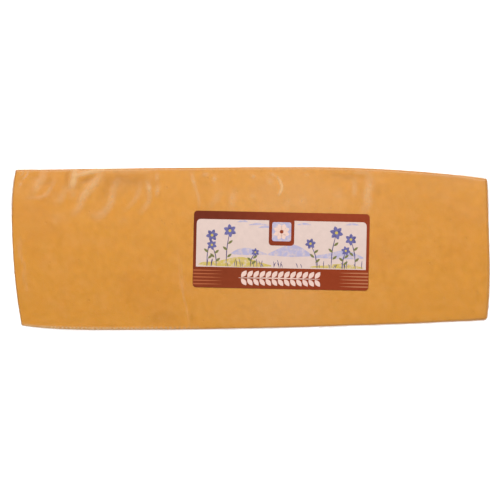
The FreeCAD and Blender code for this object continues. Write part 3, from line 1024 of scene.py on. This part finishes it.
class CHEESE_OT_seals(Operator):
    """Add the folded heat seals at both ends"""

    bl_idname = "cheese_loaf.seals"
    bl_label = "End Seals"

    def execute(self, context):
        loaf, film = context.scene.cheese_loaf, context.scene.cheese_film
        colours = context.scene.cheese_colours
        seal_film = film_material("Seal Film", colours, film.roughness, SEAL_MILK)
        ear_film = film_material("Ear Film", colours, film.roughness, EAR_MILK)
        ground = surface_of("film")
        for name, hand in (("left", -1), ("right", 1)):
            sides = {side: self.half_breadth(loaf, ground, hand, side) for side in (-1, 1)}
            inward = Vector((-hand, 0, 0))
            strip = self.strip(film, ground, inward, sides)
            piece = finish_piece(strip, f"seal_{name}", seal_film, "wrapped_loaf")
            ups = [(v.co.z - SEAL_LEVEL) / STRIP_DROP + 1 for v in piece.data.vertices]
            store(piece, "haze", [RIB_HAZE * max(0.0, rib_wave(up, film.seal_ribs)) for up in ups])
            ears = self.ears(ground, inward, sides)
            finish_piece(ears, f"ears_{name}", ear_film, "wrapped_loaf")
        return {"FINISHED"}

    def half_breadth(self, loaf, ground, hand, side):
        """How far an end's strip reaches from the middle towards one side, inside the upright edge there."""
        start = Vector((hand * (loaf.length / 2 - CORNER_DEPTH), side * DROP_HEIGHT, SEAL_LEVEL))
        wall = ground.ray_cast(start, Vector((0, -side, 0)))[0]
        return min(loaf.width / 2 - STRIP_MARGIN, abs(wall.y) - CORNER_ROOM)

    def strip(self, film, ground, inward, sides):
        """The flat heat seal, ribbed across, which ends where the ears are folded back over it."""
        bm = bmesh.new()
        bmesh.ops.create_grid(bm, x_segments=STRIP_CUTS[0], y_segments=STRIP_CUTS[1], size=1.0)
        for vertex in bm.verts:
            across, down = vertex.co.x, (1 - vertex.co.y) / 2
            side = sides[1 if across > 0 else -1]
            fold = side - EAR_REACH + (EAR_REACH - STRIP_SLANT) * down * STRIP_DROP / EAR_DROP
            reach = min(side - STRIP_SLANT * down, fold)
            vertex.co = (0, across * reach, SEAL_LEVEL - STRIP_DROP * down)
        levels = {v: (v.co.z - SEAL_LEVEL) / STRIP_DROP + 1 for v in bm.verts}
        lay_on(bm, ground, LAID_GAP, STRIP_THICK, inward)
        for vertex, up in levels.items():
            place = Vector((-inward.x * 3, vertex.co.y / FLAP_WAVE_PITCH, up * 2))
            wave = noise.noise(place) * FLAP_WAVE * (1 - up)
            vertex.co.x -= inward.x * (rib_wave(up, film.seal_ribs) * RIB_HEIGHT + abs(wave))
        return bm

    def ears(self, ground, inward, sides):
        """The two ears, three-cornered folds of the strip's spare breadth."""
        bm = bmesh.new()
        for hand, side in sides.items():
            corners = [(hand * side, SEAL_LEVEL), (hand * (side - EAR_REACH), SEAL_LEVEL)]
            corners.append((hand * (side - STRIP_SLANT), SEAL_LEVEL - EAR_DROP))
            inset = [Vector((0, y + hand * EAR_INSET, z)) for y, z in corners]
            bm.faces.new([bm.verts.new(spot) for spot in inset])
        bmesh.ops.subdivide_edges(bm, edges=bm.edges[:], cuts=EAR_CUTS, use_grid_fill=True)
        bmesh.ops.triangulate(bm, faces=bm.faces[:])
        lay_on(bm, ground, LAID_GAP, EAR_THICK, inward)
        return bm


class LabelPrint:
    """What every operator of the label shares: laying a flat design on the loaf."""

    def lay(self, context, bm, name, material, layer):
        """Turns and places a flat design and lays it over the label, higher for each layer."""
        label = context.scene.cheese_label
        lattice(bm, PRINT_STEP)
        turn = Matrix.Translation((*label.place, 0)) @ Matrix.Rotation(label.turn, 4, "Z")
        bmesh.ops.transform(bm, matrix=turn, verts=bm.verts[:])
        ground = surface_of("film")
        if layer:
            lay_on(bm, ground, label.thickness + (layer - 1) * PRINT_THICK, PRINT_THICK + 0.004 * MM)
        else:
            lay_on(bm, ground, 0.0, label.thickness)
        finish_piece(bm, name, material, "label")


class CHEESE_OT_label(Operator, LabelPrint):
    """Add the label with its brown frame, cream panel, tab and stripes"""

    bl_idname = "cheese_loaf.label"
    bl_label = "Label"

    def execute(self, context):
        label, colours = context.scene.cheese_label, context.scene.cheese_colours
        top, left = label.width / 2, -label.length / 2
        frame_ink = print_material(
            "Label Frame", colours.frame_left, low_colour=colours.frame_low, right_colour=colours.frame_right
        )

        sheet = bmesh.new()
        rounded_sheet(sheet, (0, 0), (label.length, label.width), label.corner_radius)
        self.lay(context, sheet, "label_sheet", frame_ink, 0)

        panel = bmesh.new()
        panel_height = label.width - TOP_BAND - BOTTOM_BAND
        middle = top - TOP_BAND - panel_height / 2
        size = (label.length - 2 * SIDE_BORDER, panel_height)
        rounded_sheet(panel, (0, middle), size, PANEL_RADIUS, corners=(1, 1, 0, 0))
        self.lay(context, panel, "label_panel", print_material("Label Panel", colours.panel, 0.1), 1)

        stripes = bmesh.new()
        for i in range(STRIPE_COUNT):
            y = (-top + BOTTOM_BAND / 2 + (i - (STRIPE_COUNT - 1) / 2) * STRIPE_PITCH) / MM
            for hand in (-1, 1):
                start, end = hand * (-left / MM - 0.25), hand * (-left - STRIPE_RUN) / MM
                route = ((2 * start - end, y), (start, y), (end, y))
                add_stroke(stripes, route, STRIPE_BREADTHS[hand], taper=1.0)
        outside = [v for v in stripes.verts if abs(v.co.x) > -left - 0.2 * MM]
        bmesh.ops.delete(stripes, geom=outside, context="VERTS")
        bmesh.ops.remove_doubles(stripes, verts=stripes.verts[:], dist=0.01 * MM)
        stripe_ink = print_material(
            "Label Stripes",
            colours.stripe,
            0.1,
            low_colour=colours.stripe,
            right_colour=colours.stripe_right,
        )
        self.lay(context, stripes, "label_stripes", stripe_ink, 1)

        tab = bmesh.new()
        tab_top = top - TOP_BAND + 0.1 * MM
        rounded_sheet(tab, (0, tab_top - TAB_SIZE[1] / 2), TAB_SIZE, 2.0 * MM, corners=(0, 0, 1, 1))
        self.lay(context, tab, "label_tab", frame_ink, 5)
        return {"FINISHED"}


class CHEESE_OT_sign(Operator, LabelPrint):
    """Add the plain sign on the tab and the ear of grain in the lower band"""

    bl_idname = "cheese_loaf.sign"
    bl_label = "Sign and Grain"

    def execute(self, context):
        label, colours = context.scene.cheese_label, context.scene.cheese_colours
        top = label.width / 2
        tab_middle = top - TOP_BAND - TAB_SIZE[1] / 2 + 0.9 * MM
        plate = bmesh.new()
        rounded_sheet(plate, (0, tab_middle), SIGN_SIZE, SIGN_RADIUS)
        wash = print_material("Sign Plate", colours.wash, washed_with=colours.panel)
        self.lay(context, plate, "sign_plate", wash, 6)

        rosette, heart = bmesh.new(), bmesh.new()
        flower(rosette, heart, (0, tab_middle), ROSETTE_RADIUS, ROSETTE_PETALS, math.pi / ROSETTE_PETALS)
        self.lay(context, rosette, "sign_rosette", print_material("Sign Rosette", colours.cream, 0.06), 7)
        self.lay(context, heart, "sign_heart", print_material("Sign Heart", colours.frame_right), 8)

        ear = bmesh.new()
        middle = -top + BOTTOM_BAND / 2
        half = GRAIN_EAR_RUN / 2 / MM
        add_stroke(ear, ((-half, middle / MM), (0, middle / MM + 0.15), (half, middle / MM)), 0.7 * MM)
        for i in range(GRAIN_PAIRS):
            x = (-half + 3.2 + i * (2 * half - 6.4) / (GRAIN_PAIRS - 1)) * MM
            for hand in (-1, 1):
                add_leaf(ear, (x, middle + hand * 2.45 * MM), 5.2 * MM, 2.9 * MM, hand * GRAIN_LEAN)
        self.lay(context, ear, "label_grain_ear", print_material("Grain Ear", colours.cream, 0.06), 2)
        return {"FINISHED"}


class CHEESE_OT_picture(Operator, LabelPrint):
    """Paint the panel with hills, grasses and blossoms"""

    bl_idname = "cheese_loaf.picture"
    bl_label = "Picture"

    def execute(self, context):
        colours = context.scene.cheese_colours
        rng = random.Random(PICTURE_SEED)
        ground = context.scene.cheese_label.width / -2 + BOTTOM_BAND

        field = bmesh.new()
        add_hill(field, -51 * MM, -6 * MM, ground + 1.0 * MM, 4.4 * MM, 1.2 * MM)
        add_hill(field, 18 * MM, 51 * MM, ground + 0.9 * MM, 2.2 * MM, 0.6 * MM)
        straw = print_material("Straw Wash", colours.straw, washed_with=colours.panel)
        self.lay(context, field, "picture_field", straw, 2)

        hills = bmesh.new()
        add_hill(hills, -31 * MM, -8.5 * MM, ground + 8.2 * MM, 3.2 * MM, 1.0 * MM)
        add_hill(hills, -8 * MM, 18.5 * MM, ground + 8.0 * MM, 5.4 * MM, 1.4 * MM)
        add_hill(hills, 19 * MM, 51 * MM, ground + 7.0 * MM, 3.8 * MM, 1.2 * MM)
        wash = print_material("Blue Wash", colours.wash, washed_with=colours.panel)
        self.lay(context, hills, "picture_hills", wash, 2)

        stems, leaves, petals, hearts = (bmesh.new() for _ in range(4))
        for x, height, lean, size in (
            (-46, 19, 3, 3.6),
            (-40, 13, -3, 3.0),
            (-34, 22, 2, 3.9),
            (-19, 9, 3, 2.4),
            (22, 15, -4, 3.2),
            (31, 22, 3, 4.0),
            (38, 11, 2, 2.8),
            (46, 18, -3, 3.5),
        ):
            foot = ground / MM + 0.6
            tip = (x + lean, foot + height)
            add_stroke(stems, ((x, foot), (x + lean * 0.2, foot + height * 0.5), tip), 0.55 * MM)
            flower(petals, hearts, (tip[0] * MM, tip[1] * MM), size * MM, 6, rng.uniform(0, 1))
            for share, hand in ((0.3, 1), (0.5, -1), (0.68, 1)):
                at = (x + lean * share * 0.7 + hand * 1.5, foot + height * share)
                turn = math.radians(40) if hand > 0 else math.radians(140)
                add_leaf(leaves, (at[0] * MM, at[1] * MM), 3.6 * MM, 1.5 * MM, turn)
        for _ in range(GRASS_BLADES):
            x = rng.uniform(-50, 51)
            blade = rng.uniform(2.0, 5.5)
            lean = rng.uniform(-1.5, 1.5)
            foot = ground / MM + 0.4
            route = ((x, foot), (x + lean * 0.4, foot + blade * 0.6), (x + lean, foot + blade))
            add_stroke(stems, route, 0.4 * MM)
        ink = print_material("Ink Strokes", colours.ink, washed_with=colours.blue)
        self.lay(context, stems, "picture_stems", ink, 3)
        self.lay(context, leaves, "picture_leaves", print_material("Leaf Strokes", colours.leaf, 0.3), 4)
        blue = print_material("Blue Strokes", colours.blue, washed_with=colours.ink)
        self.lay(context, petals, "picture_petals", blue, 5)
        self.lay(context, hearts, "picture_hearts", print_material("Straw Hearts", colours.straw), 6)

        clouds = bmesh.new()
        for x, y, length in ((-14, 15.5, 13), (-10, 13.9, 9), (14, 16.2, 9), (44, 16.6, 9), (-24, 17.2, 7)):
            add_stroke(clouds, ((x - length / 2, y), (x, y + 0.7), (x + length / 2, y)), 1.3 * MM, taper=0.9)
        self.lay(context, clouds, "picture_clouds", wash, 2)
        return {"FINISHED"}


class CHEESE_OT_studio(Operator):
    """Add the floor, the light and the camera"""

    bl_idname = "cheese_loaf.studio"
    bl_label = "Studio"

    def execute(self, context):
        studio = context.scene.cheese_studio
        scene = context.scene
        scene.view_settings.view_transform = "Standard"
        self.add_floor(context)
        self.light_world(scene, studio)
        self.add_lamp(scene, "key", KEY_SIZE, KEY_PLACE, studio.key)
        self.add_lamp(scene, "fill", FILL_SIZE, FILL_PLACE, studio.fill)
        self.add_card(context, studio)
        self.add_camera(scene, studio)
        return {"FINISHED"}

    def seen_directly(self, tree):
        """1 for rays from the camera, from a mirror or through glass, and 0 for those that light things."""
        path = tree.nodes.new("ShaderNodeLightPath")
        seen = math_node(tree, "ADD", path.outputs["Is Camera Ray"], path.outputs["Is Transmission Ray"])
        return math_node(tree, "ADD", seen, path.outputs["Is Glossy Ray"], clamp=True)

    def add_sheet(self, context, name, place, reach):
        """A flat square sheet."""
        bm = bmesh.new()
        at = Matrix.Translation(place)
        bmesh.ops.create_grid(bm, x_segments=1, y_segments=1, size=reach, matrix=at)
        mesh = bpy.data.meshes.new(name)
        bm.to_mesh(mesh)
        bm.free()
        sheet = bpy.data.objects.new(name, mesh)
        context.scene.collection.objects.link(sheet)
        return sheet

    def add_floor(self, context):
        """A matt floor, which glows for the camera so that it looks as pale as the sky round it."""
        floor = self.add_sheet(context, "floor", (0, 0, -FLOOR_GAP), FLOOR_REACH)
        material, tree, output = start_material("Pale Floor")
        matt = tree.nodes.new("ShaderNodeBsdfDiffuse")
        matt.inputs["Color"].default_value = (FLOOR_GREY, FLOOR_GREY, FLOOR_GREY, 1.0)
        glow = tree.nodes.new("ShaderNodeEmission")
        strength = math_node(tree, "MULTIPLY", self.seen_directly(tree), FLOOR_GLOW)
        tree.links.new(strength, glow.inputs["Strength"])
        both = tree.nodes.new("ShaderNodeAddShader")
        tree.links.new(matt.outputs[0], both.inputs[0])
        tree.links.new(glow.outputs[0], both.inputs[1])
        tree.links.new(both.outputs[0], output.inputs["Surface"])
        floor.data.materials.append(material)

    def light_world(self, scene, studio):
        """Even light from all round, white to the camera and dimmer for what it lights."""
        world = bpy.data.worlds.new("Studio Sky")
        scene.world = world
        world.use_nodes = True
        tree = world.node_tree
        tree.nodes.clear()
        sky = tree.nodes.new("ShaderNodeBackground")
        lift = math_node(tree, "MULTIPLY", self.seen_directly(tree), 1.0 - studio.sky)
        tree.links.new(math_node(tree, "ADD", lift, studio.sky), sky.inputs["Strength"])
        output = tree.nodes.new("ShaderNodeOutputWorld")
        tree.links.new(sky.outputs[0], output.inputs["Surface"])

    def add_lamp(self, scene, name, size, place, power):
        """A soft rectangular lamp that faces the loaf."""
        light = bpy.data.lights.new(name, "AREA")
        light.shape = "RECTANGLE"
        light.size, light.size_y = size
        light.energy = power
        lamp = bpy.data.objects.new(name, light)
        lamp.location = place
        lamp.rotation_euler = (-lamp.location).to_track_quat("-Z", "Y").to_euler()
        lamp.visible_camera = False
        scene.collection.objects.link(lamp)

    def add_card(self, context, studio):
        """A dark card, seen only in reflections, keeps the sky's glare off the upper face."""
        card = self.add_sheet(context, "card", (*studio.aim, CARD_HEIGHT), CARD_REACH)
        card.visible_camera = False
        card.visible_diffuse = False
        card.visible_transmission = False
        card.visible_shadow = False
        material, tree, output = start_material("Dark Card")
        matt = tree.nodes.new("ShaderNodeBsdfDiffuse")
        matt.inputs["Color"].default_value = (CARD_GREY, CARD_GREY, CARD_GREY, 1.0)
        tree.links.new(matt.outputs[0], output.inputs["Surface"])
        card.data.materials.append(material)

    def add_camera(self, scene, studio):
        """A camera straight above, far off, that sees the chosen width."""
        lens = bpy.data.cameras.new("camera")
        lens.sensor_width = SENSOR_WIDTH
        distance = studio.camera_height - scene.cheese_loaf.height / 2
        lens.lens = lens.sensor_width * distance / studio.view_width
        camera = bpy.data.objects.new("camera", lens)
        camera.location = (*studio.aim, studio.camera_height)
        scene.collection.objects.link(camera)
        scene.camera = camera


class CHEESE_PT_panel(Panel):
    """Lists a button for each piece and for the studio"""

    bl_idname = "CHEESE_PT_panel"
    bl_label = "Cheese Loaf"
    bl_space_type = "VIEW_3D"
    bl_region_type = "UI"
    bl_category = "Cheese Loaf"

    def draw(self, context):
        column = self.layout.column(align=True)
        for operator in OPERATORS:
            column.operator(operator.bl_idname)


SETTINGS = {
    "cheese_loaf": LoafSettings,
    "cheese_film": FilmSettings,
    "cheese_label": LabelSettings,
    "cheese_colours": ColourSettings,
    "cheese_studio": StudioSettings,
}
OPERATORS = (
    CHEESE_OT_studio,
    CHEESE_OT_cheese,
    CHEESE_OT_film,
    CHEESE_OT_seals,
    CHEESE_OT_label,
    CHEESE_OT_sign,
    CHEESE_OT_picture,
)
CLASSES = (*SETTINGS.values(), *OPERATORS, CHEESE_PT_panel)


def register():
    for each in CLASSES:
        bpy.utils.register_class(each)
    for name, settings in SETTINGS.items():
        setattr(bpy.types.Scene, name, PointerProperty(type=settings))


def unregister():
    for name in SETTINGS:
        delattr(bpy.types.Scene, name)
    for each in reversed(CLASSES):
        bpy.utils.unregister_class(each)


def main():
    register()
    bpy.ops.cheese_loaf.studio()
    bpy.ops.cheese_loaf.cheese()
    bpy.ops.cheese_loaf.film()
    bpy.ops.cheese_loaf.seals()
    bpy.ops.cheese_loaf.label()
    bpy.ops.cheese_loaf.sign()
    bpy.ops.cheese_loaf.picture()


if __name__ == "__main__":
    main()
